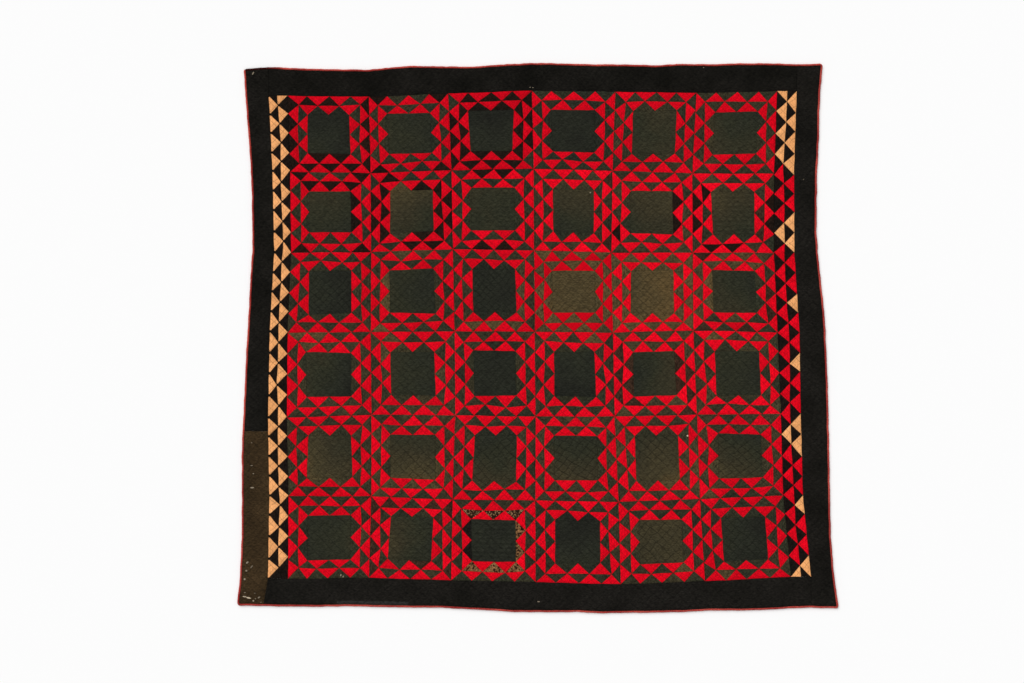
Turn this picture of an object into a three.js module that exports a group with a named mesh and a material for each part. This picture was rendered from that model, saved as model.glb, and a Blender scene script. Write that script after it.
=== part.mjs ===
// A hand-pieced quilt lying flat, face up: thirty-six pieced blocks, a strip of triangles down
// each side, plain borders, one of them finished with a patch, and a narrow turned binding.
// Millimetres, +Z up. The underside lies on z = 0 and the head end is towards +Y.
import * as THREE from "three";

// Patchwork: a unit is an eighth of a block's side, about 35 mm
const BLOCKS = 6;
const UNITS = 8;
const RINGS = 2;
const STRIP_COLUMNS = 2;

// Seam allowances eat into the rings, so a block's centre is sewn larger than drafted
const DRAFTED_LINES = [0, 1, 2, 6, 7, 8];
const SEWN_LINES = [0, 0.94, 1.89, 6.11, 7.06, 8];

// Heights of the quilted surface above the floor
const SEAM_HEIGHT = 3.2;
const TRIANGLE_PUFF = 2.6;
const CENTRE_PUFF = 2.2;
const BORDER_PUFF = 2.4;

// Borders and binding
const BORDER_SQUARES = 4;
const PATCH_LEVEL = 4.17;
const PATCH_SEAM_LEAN = 14;
const BINDING_WIDTH = 6.5;
const SEAM_GAP = 0.3;

// Section of the turned binding, from the border's edge outwards
const BINDING_SECTION = [
  { across: 0, height: 0 },
  { across: 0, height: 4.2 },
  { across: 0.35, height: 5.8 },
  { across: 0.75, height: 5 },
  { across: 1, height: 2.8 },
  { across: 0.9, height: 0 },
];

// Upright seams, left to right: x where each crosses the level seams, from the top down
const UPRIGHT_SEAMS = [
  { seam: "left border", x: [-922, -910, -903, -919, -925, -920, -925] },
  { seam: "left strip", x: [-857, -849, -846, -857, -860, -854, -856] },
  { seam: "column 1 to 2", x: [-579, -573, -570, -572, -570, -570, -578] },
  { seam: "column 2 to 3", x: [-306, -295, -290, -285, -282, -291, -297] },
  { seam: "column 3 to 4", x: [-20, -13, -12, -9, -6, -8, -6] },
  { seam: "column 4 to 5", x: [267, 258, 253, 259, 264, 278, 286] },
  { seam: "column 5 to 6", x: [546, 531, 532, 535, 547, 558, 575] },
  { seam: "right strip", x: [822, 811, 812, 824, 835, 843, 869] },
  { seam: "right border", x: [890, 880, 881, 899, 903, 911, 939] },
];
const FIRST_COLUMN = 1;
const LAST_UPRIGHT = UPRIGHT_SEAMS.length - 1;

// Level seams, top to bottom: y where each crosses the columns' seams, from the left
const LEVEL_SEAMS = [
  { seam: "top border", y: [829, 826, 837, 847, 843, 839, 845] },
  { seam: "row 1 to 2", y: [568, 564, 574, 579, 572, 563, 562] },
  { seam: "row 2 to 3", y: [291, 293, 303, 299, 291, 291, 290] },
  { seam: "row 3 to 4", y: [16, 19, 21, 20, 17, 24, 18] },
  { seam: "row 4 to 5", y: [-275, -265, -267, -271, -271, -265, -262] },
  { seam: "row 5 to 6", y: [-544, -545, -556, -559, -564, -554, -542] },
  { seam: "bottom border", y: [-828, -824, -833, -839, -847, -836, -821] },
];

// Outer edges of the quilt, each from one corner to the next
const TOP_EDGE = [
  { x: -1008, y: 922 },
  { x: -955, y: 930 },
  { x: -920, y: 927 },
  { x: -735, y: 921 },
  { x: -575, y: 918 },
  { x: -475, y: 932 },
  { x: -245, y: 929 },
  { x: 0, y: 943 },
  { x: 215, y: 936 },
  { x: 295, y: 938 },
  { x: 390, y: 932 },
  { x: 455, y: 939 },
  { x: 605, y: 937 },
  { x: 705, y: 942 },
  { x: 910, y: 937 },
  { x: 978, y: 940 },
];
const BOTTOM_EDGE = [
  { x: -1031, y: -919 },
  { x: -820, y: -924 },
  { x: -690, y: -922 },
  { x: -435, y: -926 },
  { x: -275, y: -929 },
  { x: -75, y: -942 },
  { x: 135, y: -942 },
  { x: 215, y: -946 },
  { x: 495, y: -942 },
  { x: 600, y: -936 },
  { x: 775, y: -936 },
  { x: 860, y: -929 },
  { x: 955, y: -926 },
  { x: 1034, y: -929 },
];
const LEFT_EDGE = [
  { y: -919, x: -1031 },
  { y: -835, x: -1022 },
  { y: -680, x: -1015 },
  { y: -370, x: -1014 },
  { y: -265, x: -1008 },
  { y: -60, x: -1000 },
  { y: 145, x: -988 },
  { y: 245, x: -983 },
  { y: 300, x: -977 },
  { y: 505, x: -980 },
  { y: 610, x: -985 },
  { y: 810, x: -1001 },
  { y: 922, x: -1008 },
];
const RIGHT_EDGE = [
  { y: -929, x: 1034 },
  { y: -820, x: 1018 },
  { y: -665, x: 1005 },
  { y: -360, x: 1000 },
  { y: -150, x: 996 },
  { y: 50, x: 987 },
  { y: 110, x: 982 },
  { y: 210, x: 970 },
  { y: 310, x: 960 },
  { y: 365, x: 957 },
  { y: 570, x: 959 },
  { y: 670, x: 966 },
  { y: 825, x: 967 },
  { y: 880, x: 975 },
  { y: 940, x: 978 },
];

// Cloth colours
const RED_WOOL = 0xc4101f;
const TAN_COTTON = 0xdf9e65;
const BLACK_COTTON = 0x191714;
const OLIVE_COTTON = 0x372b1c;
const BRICK_TAPE = 0x8f2a2c;

const halfGap = SEAM_GAP / 2;
const mitreGap = SEAM_GAP * Math.SQRT1_2;

// Straight runs between stations
function through(stations, values) {
  const line = new THREE.LinearInterpolant(stations, values, 1);
  return (at) => line.evaluate(at)[0];
}

function edgeLine(rows, along, across) {
  return through(rows.map((row) => row[along]), rows.map((row) => row[across]));
}

const sewn = through(DRAFTED_LINES, SEWN_LINES);
const topY = edgeLine(TOP_EDGE, "x", "y");
const bottomY = edgeLine(BOTTOM_EDGE, "x", "y");
const leftX = edgeLine(LEFT_EDGE, "y", "x");
const rightX = edgeLine(RIGHT_EDGE, "y", "x");

function moved(point, x, y) {
  return new THREE.Vector2(point.x + x, point.y + y);
}

// Where an upright seam crosses a level seam
function crossing(upright, level) {
  const column = THREE.MathUtils.clamp(upright - FIRST_COLUMN, 0, BLOCKS);
  return new THREE.Vector2(UPRIGHT_SEAMS[upright].x[level], LEVEL_SEAMS[level].y[column]);
}

// A place part of the way along a row of crossings, which straight seams join
function between(at, last, crossingAt) {
  const step = Math.min(Math.floor(at), last - 1);
  return crossingAt(step).lerp(crossingAt(step + 1), at - step);
}

function onUpright(upright, level) {
  return between(level, BLOCKS, (step) => crossing(upright, step));
}

function onLevel(level, upright) {
  return between(upright, LAST_UPRIGHT, (step) => crossing(step, level));
}

// A flat-backed layer of cloth: puffs on its face, upright sides and a flat underside
class Layer {
  constructor() {
    this.places = [];
    this.faces = [];
    this.known = new Map();
  }

  vertex(point, height) {
    const place = [point.x, point.y, height];
    const key = place.map((value) => value.toFixed(4)).join(" ");
    if (!this.known.has(key)) {
      this.known.set(key, this.known.size);
      this.places.push(...place);
    }
    return this.known.get(key);
  }

  // One patch, low along its sewn edges and raised in its middle
  puff(points, lift) {
    const patch = THREE.ShapeUtils.area(points) < 0 ? [...points].reverse() : points;
    const middle = new THREE.Vector2();
    patch.forEach((point) => middle.addScaledVector(point, 1 / patch.length));
    const crown = this.vertex(middle, SEAM_HEIGHT + lift);
    patch.forEach((point, i) => {
      const next = patch[(i + 1) % patch.length];
      this.faces.push(this.vertex(point, SEAM_HEIGHT), this.vertex(next, SEAM_HEIGHT), crown);
    });
  }

  // Sides and underside, below the straight runs of points round the patches
  close(runs) {
    const clockwise = THREE.ShapeUtils.area(runs.map((run) => run[0])) < 0;
    const loop = clockwise ? runs.map((run) => [...run].reverse()).reverse() : runs;
    const corners = loop.map((run) => run[0]);
    const ground = corners.map((corner) => this.vertex(corner, 0));
    loop.forEach((run, i) => {
      const rim = run.map((point) => this.vertex(point, SEAM_HEIGHT));
      this.faces.push(ground[i], ground[(i + 1) % ground.length], rim.at(-1));
      for (let k = rim.length - 1; k > 0; k -= 1) {
        this.faces.push(ground[i], rim[k], rim[k - 1]);
      }
    });
    THREE.ShapeUtils.triangulateShape(corners, []).forEach(([a, b, c]) => {
      this.faces.push(ground[a], ground[c], ground[b]);
    });
  }

  // A length of tape with one section all along, closed at both ends
  sweep(inner, outer, section) {
    const rings = inner.map((from, k) => section.map(({ across, height }) => {
      return this.vertex(from.clone().lerp(outer[k], across), height);
    }));
    const count = section.length;
    for (let k = 0; k + 1 < rings.length; k += 1) {
      for (let s = 0; s < count; s += 1) {
        const [a, b] = [rings[k][s], rings[k][(s + 1) % count]];
        const [c, d] = [rings[k + 1][(s + 1) % count], rings[k + 1][s]];
        this.faces.push(a, b, c, a, c, d);
      }
    }
    for (let s = 1; s + 1 < count; s += 1) {
      this.faces.push(rings[0][0], rings[0][s + 1], rings[0][s]);
      this.faces.push(rings.at(-1)[0], rings.at(-1)[s], rings.at(-1)[s + 1]);
    }
  }

  // Six times the enclosed volume, negative when the faces point inwards
  signedVolume() {
    const corner = (k) => new THREE.Vector3().fromArray(this.places, 3 * this.faces[k]);
    let sum = 0;
    for (let k = 0; k < this.faces.length; k += 3) {
      sum += corner(k).dot(corner(k + 1).cross(corner(k + 2)));
    }
    return sum;
  }

  mesh(name, color) {
    if (this.signedVolume() < 0) this.faces.reverse();
    const geometry = new THREE.BufferGeometry();
    geometry.setAttribute("position", new THREE.Float32BufferAttribute(this.places, 3));
    geometry.setIndex(this.faces);
    geometry.computeVertexNormals();
    const material = new THREE.MeshStandardMaterial({ color, roughness: 0.95, metalness: 0 });
    const cloth = new THREE.Mesh(geometry, material);
    cloth.name = name;
    return cloth;
  }
}

// Patches of one side of a block's rings, in units from the block's top left corner. The points
// of the last ring's inward triangles also meet the quilting of the centre half-way.
function sidePatches() {
  const patches = [];
  for (let ring = 0; ring < RINGS; ring += 1) {
    for (let u = ring; u < UNITS - ring; u += 2) {
      patches.push([[u, ring], [u + 2, ring], [u + 1, ring + 1]]);
    }
    for (let u = ring + 1; u < UNITS - ring - 1; u += 2) {
      const base = [[u, ring + 1], [u + 2, ring + 1]];
      if (ring === RINGS - 1) base.splice(1, 0, [u + 1, ring + 1]);
      patches.push([...base, [u + 1, ring]]);
    }
  }
  return patches;
}

// Diamonds of the cross-hatched centre, cut off where the centre square ends
function centrePatches() {
  const low = RINGS;
  const high = UNITS - RINGS;
  const inside = (value) => value >= low && value <= high;
  const patches = [];
  for (let u = low; u <= high; u += 0.5) {
    for (let v = low + (u % 1 === 0 ? 0.5 : 0); v <= high; v += 1) {
      const diamond = [[u - 0.5, v], [u, v - 0.5], [u + 0.5, v], [u, v + 0.5]];
      patches.push(diamond.filter((corner) => corner.every(inside)));
    }
  }
  return patches;
}

// A point turned about a block's middle by whole quarters
function quarterTurned([u, v], quarters) {
  let [x, y] = [u, v];
  for (let k = 0; k < quarters; k += 1) [x, y] = [UNITS - y, x];
  return [x, y];
}

function block(row, column) {
  const left = FIRST_COLUMN + column;
  const topLeft = moved(crossing(left, row), halfGap, -halfGap);
  const topRight = moved(crossing(left + 1, row), -halfGap, -halfGap);
  const bottomLeft = moved(crossing(left, row + 1), halfGap, halfGap);
  const bottomRight = moved(crossing(left + 1, row + 1), -halfGap, halfGap);
  const place = (drafted) => {
    const [across, down] = drafted.map((units) => sewn(units) / UNITS);
    const upper = topLeft.clone().lerp(topRight, across);
    return upper.lerp(bottomLeft.clone().lerp(bottomRight, across), down);
  };
  const layer = new Layer();
  const runs = [];
  for (let quarters = 0; quarters < 4; quarters += 1) {
    const turned = (point) => place(quarterTurned(point, quarters));
    sidePatches().forEach((patch) => layer.puff(patch.map(turned), TRIANGLE_PUFF));
    const run = [];
    for (let u = 0; u <= UNITS; u += 2) run.push(turned([u, 0]));
    runs.push(run);
  }
  centrePatches().forEach((patch) => layer.puff(patch.map(place), CENTRE_PUFF));
  layer.close(runs);
  return layer.mesh(`block_r${row + 1}c${column + 1}`, RED_WOOL);
}

// Triangles of a side strip: p units in from its outer seam, q units down from its top. Every
// triangle has its base on one line of points and its tip on the next.
function stripPatches(length) {
  const patches = [];
  for (let line = 0; line < STRIP_COLUMNS; line += 1) {
    for (let q = line; q < length - line; q += 2) {
      patches.push([[line, q], [line, q + 2], [line + 1, q + 1]]);
    }
    for (let q = 1 - line; q + 2 <= length; q += 2) {
      patches.push([[line + 1, q], [line + 1, q + 2], [line, q + 1]]);
    }
    [[0, 1], [length, length - 1]].forEach(([end, next]) => {
      const middle = [1, next];
      const outer = [2 * line, end];
      patches.push([[1, end], middle, outer]);
    });
  }
  return patches;
}

function strip(name, outerUpright, innerUpright) {
  const length = BLOCKS * UNITS;
  const inward = Math.sign(innerUpright - outerUpright) * halfGap;
  const cornerAt = (upright, shift) => (level) => {
    const endShift = { 0: -halfGap, [BLOCKS]: halfGap }[level] ?? 0;
    return moved(crossing(upright, level), shift, endShift);
  };
  const place = ([p, q]) => {
    const outer = between(q / UNITS, BLOCKS, cornerAt(outerUpright, inward));
    const inner = between(q / UNITS, BLOCKS, cornerAt(innerUpright, -inward));
    return outer.lerp(inner, p / STRIP_COLUMNS);
  };
  const layer = new Layer();
  stripPatches(length).forEach((patch) => layer.puff(patch.map(place), TRIANGLE_PUFF));
  const steps = Array.from({ length: UNITS / 2 + 1 }, (_, k) => 2 * k);
  const sideRun = (p, from) => {
    return steps.map((step) => place([p, from + (p === 0 ? step : UNITS - step)]));
  };
  const starts = Array.from({ length: BLOCKS }, (_, k) => k * UNITS);
  const end = (q) => [0, 1, 2].map((p) => place([p, q]));
  const runs = [...starts.map((from) => sideRun(0, from)), end(length)];
  runs.push(...starts.reverse().map((from) => sideRun(STRIP_COLUMNS, from)), end(0).reverse());
  layer.close(runs);
  return layer.mesh(name, TAN_COTTON);
}

// Stations of the borders' quilting and of the binding along each side
const sideStations = Array.from({ length: BLOCKS * BORDER_SQUARES + 1 }, (_, k) => k / BORDER_SQUARES);
const acrossStations = [0, ...sideStations.map((place) => place + FIRST_COLUMN), LAST_UPRIGHT];
const leftLevels = [...sideStations, PATCH_LEVEL].sort((a, b) => a - b);

const seamLines = {
  top: acrossStations.map((upright) => onLevel(0, upright)),
  bottom: acrossStations.map((upright) => onLevel(BLOCKS, upright)),
  left: leftLevels.map((level) => onUpright(0, level)),
  right: sideStations.map((level) => onUpright(LAST_UPRIGHT, level)),
};

// The binding's outer and inner corners
function corner(edge, edgeX, edgeY, inX, inY) {
  const outer = new THREE.Vector2(edge.x, edge.y);
  const x = edgeX(outer.y + inY) + inX;
  return { outer, inner: new THREE.Vector2(x, edgeY(x) + inY) };
}

const inset = BINDING_WIDTH;
const corners = {
  topLeft: corner(TOP_EDGE[0], leftX, topY, inset, -inset),
  topRight: corner(TOP_EDGE.at(-1), rightX, topY, -inset, -inset),
  bottomLeft: corner(BOTTOM_EDGE[0], leftX, bottomY, inset, inset),
  bottomRight: corner(BOTTOM_EDGE.at(-1), rightX, bottomY, -inset, inset),
};

// Outer and inner line of the binding on one side, at matching stations from corner to corner
function bindingLines(side, from, to, onEdge, shiftX, shiftY) {
  const outer = seamLines[side].map(onEdge);
  const inner = outer.map((point) => moved(point, shiftX, shiftY));
  return {
    outer: [from.outer, ...outer, to.outer],
    inner: [from.inner, ...inner, to.inner],
  };
}

const toSideEdge = (line) => (point) => new THREE.Vector2(line(point.y), point.y);
const toEndEdge = (line) => (point) => new THREE.Vector2(point.x, line(point.x));

// The patch's lowest seam leans outwards below the pieced strip
function toBottomEdge(point, station) {
  return toEndEdge(bottomY)(moved(point, station === 0 ? -PATCH_SEAM_LEAN : 0, 0));
}

const { topLeft, topRight, bottomLeft, bottomRight } = corners;
const edges = {
  top: bindingLines("top", topLeft, topRight, toEndEdge(topY), 0, -inset),
  bottom: bindingLines("bottom", bottomLeft, bottomRight, toBottomEdge, 0, inset),
  left: bindingLines("left", topLeft, bottomLeft, toSideEdge(leftX), inset, 0),
  right: bindingLines("right", topRight, bottomRight, toSideEdge(rightX), -inset, 0),
};

// A border between a seam and the binding: squares quilted corner to corner
function border(name, seam, edge, out, along, color) {
  const last = seam.length - 1;
  const fitted = (line, side) => line.map((point, k) => {
    const end = (k === 0 ? halfGap : 0) - (k === last ? halfGap : 0);
    return moved(point, side * out.x * halfGap + end * along.x, side * out.y * halfGap + end * along.y);
  });
  const near = fitted(seam, 1);
  const far = fitted(edge, -1);
  const layer = new Layer();
  for (let k = 0; k < last; k += 1) {
    const square = [near[k], near[k + 1], far[k + 1], far[k]];
    const middle = new THREE.Vector2();
    square.forEach((point) => middle.addScaledVector(point, 1 / square.length));
    square.forEach((point, i) => {
      layer.puff([point, square[(i + 1) % square.length], middle], BORDER_PUFF);
    });
  }
  const loop = [...near, ...far.reverse()];
  layer.close(loop.map((point, i) => [point, loop[(i + 1) % loop.length]]));
  return layer.mesh(name, color);
}

function binding(name, { inner, outer }, out, along) {
  const last = inner.length - 1;
  const fitted = (line, shift) => line.map((point, k) => {
    const end = (k === 0 ? mitreGap : 0) - (k === last ? mitreGap : 0);
    return moved(point, shift * out.x + end * along.x, shift * out.y + end * along.y);
  });
  const layer = new Layer();
  layer.sweep(fitted(inner, halfGap), fitted(outer, 0), BINDING_SECTION);
  return layer.mesh(name, BRICK_TAPE);
}

const quilt = new THREE.Group();
for (let row = 0; row < BLOCKS; row += 1) {
  for (let column = 0; column < BLOCKS; column += 1) quilt.add(block(row, column));
}
quilt.add(strip("strip_left", 0, FIRST_COLUMN));
quilt.add(strip("strip_right", LAST_UPRIGHT, LAST_UPRIGHT - 1));

const east = new THREE.Vector2(1, 0);
const west = new THREE.Vector2(-1, 0);
const north = new THREE.Vector2(0, 1);
const south = new THREE.Vector2(0, -1);
const withoutEnds = (line) => line.slice(1, -1);
quilt.add(border("border_top", seamLines.top, withoutEnds(edges.top.inner), north, east, BLACK_COTTON));
quilt.add(
  border("border_bottom", seamLines.bottom, withoutEnds(edges.bottom.inner), south, east, BLACK_COTTON),
);

// The side borders run from the top binding to the bottom one
const rightSeam = [edges.top.inner.at(-2), ...seamLines.right, edges.bottom.inner.at(-2)];
quilt.add(border("border_right", rightSeam, edges.right.inner, east, south, BLACK_COTTON));
const leftSeam = [edges.top.inner[1], ...seamLines.left, edges.bottom.inner[1]];
const patchStart = leftLevels.indexOf(PATCH_LEVEL) + 1;
const upTo = (line) => line.slice(0, patchStart + 1);
const after = (line) => line.slice(patchStart);
quilt.add(border("border_left", upTo(leftSeam), upTo(edges.left.inner), west, south, BLACK_COTTON));
quilt.add(
  border("border_left_patch", after(leftSeam), after(edges.left.inner), west, south, OLIVE_COTTON),
);

quilt.add(binding("binding_top", edges.top, north, east));
quilt.add(binding("binding_bottom", edges.bottom, south, east));
quilt.add(binding("binding_left", edges.left, west, south));
quilt.add(binding("binding_right", edges.right, east, south));

// The origin lies under the middle of the outline
const middle = new THREE.Box3().setFromObject(quilt).getCenter(new THREE.Vector3());
quilt.position.set(-middle.x, -middle.y, 0);

export default quilt;
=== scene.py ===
"""Looks of a hand-pieced wool quilt lying flat, face up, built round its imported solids."""

import math

import bpy
import numpy as np
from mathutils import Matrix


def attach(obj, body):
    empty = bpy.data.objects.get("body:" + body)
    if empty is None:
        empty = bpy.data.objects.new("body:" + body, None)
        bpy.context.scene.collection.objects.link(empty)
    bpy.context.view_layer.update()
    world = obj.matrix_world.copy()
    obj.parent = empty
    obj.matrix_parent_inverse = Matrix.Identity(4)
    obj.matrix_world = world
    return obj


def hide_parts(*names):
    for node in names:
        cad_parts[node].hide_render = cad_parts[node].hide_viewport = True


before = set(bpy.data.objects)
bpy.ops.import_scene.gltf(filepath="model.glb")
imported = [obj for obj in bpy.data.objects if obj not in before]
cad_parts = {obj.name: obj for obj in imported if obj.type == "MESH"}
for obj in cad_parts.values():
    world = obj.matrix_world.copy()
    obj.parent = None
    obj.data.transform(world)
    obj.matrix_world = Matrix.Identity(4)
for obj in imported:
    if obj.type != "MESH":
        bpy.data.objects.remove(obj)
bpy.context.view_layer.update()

MM = 0.001

# Patchwork: a block is eight units square, about 35 mm a unit, with eight mesh cells to a unit, and
# its triangles are cut on the slant
BLOCKS = 6
UNITS = 8
RINGS = 2
STRIP_UNITS = 2
CELLS = 8
CELL = 34.9 * MM / CELLS
SLANT = math.sqrt(0.5)

# Quilting: lines that fall and lines that rise to the right, this far apart in each row of blocks
# and elsewhere, and their slopes in degrees
ROW_QUILTING = (17 * MM, 17 * MM, 19 * MM, 20 * MM, 23 * MM, 23 * MM)
PLAIN_QUILTING = 20 * MM
USUAL_SLOPES = (45, 45)
ODD_SLOPES = {"r5c4": (32, 49), "r5c6": (43, 36), "r6c2": (37, 45)}
STITCHES_PER_DIAMOND = 4

# Half widths of a thread, of a stitch in its step and of the painted shade round a line, as shares
# of a step
QUILTING_THREAD, QUILTING_STITCH, QUILTING_SHADE = 0.025, 0.3, 0.09

# Heights of the quilted face: its seams above the floor, and how far it swells between them
SEAM_HEIGHT = 3.2 * MM
PATCH_LOFT = 1.1 * MM
RING_DIAMOND_LOFT = 0.7 * MM
CENTRE_DIAMOND_LOFT = 0.8 * MM
BORDER_DIAMOND_LOFT = 1.4 * MM
CLOTH_UNEVENNESS = 0.05 * MM

# How far from a seam a patch is full, and how wide the painted shade along a seam is, in units
SEAM_REACH = 0.26
SEAM_SHADE = 0.05

# How hard the quilting thread is drawn
USUAL_TENSION = 0.9
TENSION_RANGE = (0.3, 1.4)

# Points of a solid this near the floor are on it, and sharper folds than this aren't smoothed
FLOOR_TOUCH = 0.01 * MM
SHARP_EDGE = math.radians(65)

# Baked map: long pieces are cut into bands, and the underside has the lowest share of the map
LONG_BANDS, BINDING_BANDS = 6, 8
UNDERSIDE_SHARE = 0.06
UNDERSIDE_FILL = 0.9
BINDING_ENDS_SHARE = 0.03

# Hand piecing: seam allowances eat into the rings, so centres grow, and seam points stray, in units
DRAFTED_LINES = (0, 1, 2, 6, 7, 8)
SEWN_LINES = (0, 0.94, 1.89, 6.11, 7.06, 8)
PIECING_STRAY = 0.065

# Turned binding: section from the border's edge outwards, as shares of its width and heights in
# millimetres
BINDING_FLOOR_SHARE = 0.9
BINDING_HEIGHT = 5.8
BINDING_SECTION = [
    (0.00, 0.0), (0.00, 4.1), (0.14, 5.2), (0.35, BINDING_HEIGHT), (0.58, 5.6),
    (0.78, 4.8), (0.93, 3.7), (1.00, 2.5), (0.97, 1.1), (BINDING_FLOOR_SHARE, 0.0),
]
BINDING_STEP = 3.0 * MM
CORNER_ROUND = 11 * MM
PUCKER_LENGTH = 12 * MM
PUCKER_HEIGHT = 0.25 * MM
BINDING_WOBBLE = 0.25 * MM
WOBBLE_STEPS = 5

# Sides of the quilt and the way each faces, and sides of a block
NORTH, EAST, SOUTH, WEST = (0, 1), (1, 0), (0, -1), (-1, 0)
FACING = {"top": NORTH, "right": EAST, "bottom": SOUTH, "left": WEST}
TOP, RIGHT, BOTTOM, LEFT = range(4)
SIDES = {"top": TOP, "right": RIGHT, "bottom": BOTTOM, "left": LEFT}

# Wools of the blocks, row by row, from deep bottle green (d) by b, n, m, s and o to olive (v, w):
# the centres, then the dark triangles round them, and how far each wool has faded
CENTRES = ["dbddmn", "nsnmss", "dbdvwn", "bbddnb", "oonmom", "bnddod"]
RING_WOOL = ["bnnbnm", "nbbmsm", "mmmvwm", "ssnnos", "msmsos", "mmnnmn"]
WOOL_FADE = {"d": 0.14, "b": 0.32, "n": 0.42, "m": 0.50, "s": 0.58, "o": 0.68, "v": 0.88,
             "w": 0.93}

# How cloudy the fading of the centres and of the triangles is
CLOUD_SHARE = {"v": 0.1, "w": 0.2}
USUAL_CLOUD = 0.3
RING_CLOUD = 0.5

# Fading of one scrap against the next, less in the olive blocks, whose scraps match, how far dye
# lots differ, the fading of other cloths, and painted shade on the borders, darker at the top and
# left where the light falls off
SCRAP_FADING = 0.04
SCRAP_SPREAD = {"v": 0.03, "w": 0.03}
USUAL_SPREAD = 0.07
LOT_SPREAD = 0.05
USUAL_FADE = 0.5
BORDER_SHADE = {"top": 0.38, "right": 0.66, "bottom": 0.75, "left": 0.5}

# Sides towards which the centres have faded, row by row, a letter twice where it is strong
FADED_SIDES = ["sw w s - e sw", "nw nnw n nn ne nw", "w w - - e sw", "nww w - n ee w",
               "sw ss ss ss sse ssw", "e ww - s e w"]
FADE_STEP = 0.1

# Painted shade on the blocks' reds, row by row, from deep (d) by s and m to bright (b), deeper
# towards the top-left where the light falls off, and the block that has a duller dye
RED_PAINTED_SHADE = ["dddsss", "ssmbbb", "sssmbm", "mmmmbb", "smmmms", "mmmmms"]
RED_SHADE_DEPTH = {"d": 0.82, "s": 0.90, "m": 0.98, "b": 1.07}
DULL_RED_BLOCK = "r3c4"

# Blocks whose innermost dark triangles aren't cut from the wool of the centre
ODD_POINTS = {"r3c1", "r3c2", "r3c6", "r4c1", "r4c2", "r4c3", "r4c4", "r4c6", "r5c2", "r5c6",
              "r6c2", "r6c5", "r6c6"}

# Scraps of other cloth in the rings: side and ring (1 is the outer one), then the dark triangles
# from left to right or top to bottom. g the block's own wool, f the same gone tan, k black,
# b brown-black, e black cotton, c dark calico, y tan calico.
SCRAPS = {
    "r1c1": "top1 kkg left1 kkkk right1 kkkk bottom2 kk bottom1 kkk",
    "r1c2": "top1 kggk bottom1 kggk",
    "r1c3": "top1 kkk top2 kk left1 gkkk left2 kkk right2 kkk right1 kkkg bottom2 kk bottom1 kkk",
    "r2c1": "top1 kggk top2 kkk right2 kk bottom1 kggk",
    "r2c2": "top1 kgg top2 gk left1 gkkg left2 kkk right2 kkk right1 gkkg bottom2 gk bottom1 gkk",
    "r2c3": "top1 gkkg bottom1 gkkg",
    "r2c4": "right1 bggb",
    "r2c5": "left1 ggk right2 kk",
    "r2c6": "left1 gkkg left2 kgg right1 gkkg right2 gbb bottom1 kkg",
    "r3c2": "top1 gffg left2 ff bottom1 fggg",
    "r3c3": "right2 fff bottom1 fff",
    "r3c6": "top1 bffg top2 fff left1 fff left2 ff right1 gbb bottom2 gfg bottom1 bgbg",
    "r4c1": "top1 ffgg top2 fgg",
    "r4c2": "top1 fgg left1 fggg left2 fgg",
    "r4c4": "top1 fgf left1 fggg",
    "r4c5": "left1 bbb left2 bb right1 gbb right2 bb bottom1 gggb bottom2 bgg",
    "r4c6": "top1 fff",
    "r5c2": "bottom2 fff left1 ggf right1 ggf right2 gf",
    "r5c5": "left1 gffg right1 gffg",
    "r6c2": "top1 bgb left1 bbbb right1 bggb right2 bgg bottom2 gb",
    "r6c3": "top2 ccc bottom2 yyy right2 yy left2 ee",
    "r6c5": "bottom2 ggf",
    "r6c6": "bottom1 fgg",
}
SCRAP_FADE = {"f": 0.80, "k": 0.68}

# How hard the quilting pulls, in the centres where it shows most and elsewhere, which deepens both
# its relief and the painted shade along its lines, and how crimped the weave of some centres is
BOLD_PULL = {"r1c3": 0.6, "r2c5": 0.5, "r2c6": 0.6, "r3c1": 1.4, "r3c2": 1.0, "r3c3": 1.3,
             "r3c5": 0.5, "r4c3": 0.5, "r4c6": 0.4, "r5c2": 1.1, "r5c3": 1.0, "r5c4": 2.0,
             "r5c5": 1.1, "r5c6": 1.1, "r6c4": 0.4, "r6c5": 1.1, "r6c6": 0.6}
USUAL_PULL = 0.3
CRIMP = {"r2c2": 0.6, "r2c3": 0.5, "r2c6": 0.8, "r6c2": 0.75, "r6c3": 1.0}

# Run of the threads from 0, across, to 1, down: in the centres and borders, in scraps above and
# below a centre, and in scraps beside it and in the strips
ACROSS, EVEN, DOWNWARDS = 0.0, 0.5, 0.8

# Dye lots of the strips' triangles, and how far on the lot of a light one is
STRIP_LOTS = 128
LIGHT_LOT_STEP = 7

# Light triangles of the strips from the top down: t tan, r red, and k black for the last one
LEFT_OUTER = "t" * 24
LEFT_INNER = "t" * 24 + "k"
RIGHT_OUTER = "ttttrrttrrtrrtrrttrrtrrt"
RIGHT_INNER = "tttt" + "rrr" + "t" + "r" * 9 + "t" + "r" * 6 + "t"

# How far the strips' triangles slipped down as they were sewn, in units, every four units
LEFT_SLIP = (0, -0.07, -0.10, -0.14, -0.08, -0.11, -0.11, -0.16, -0.11, -0.09, -0.03, -0.14, 0)
RIGHT_SLIP = (0, 0, 0.12, -0.06, -0.04, 0.05, 0.08, -0.10, -0.04, 0.11, -0.06, -0.21, 0)

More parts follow.
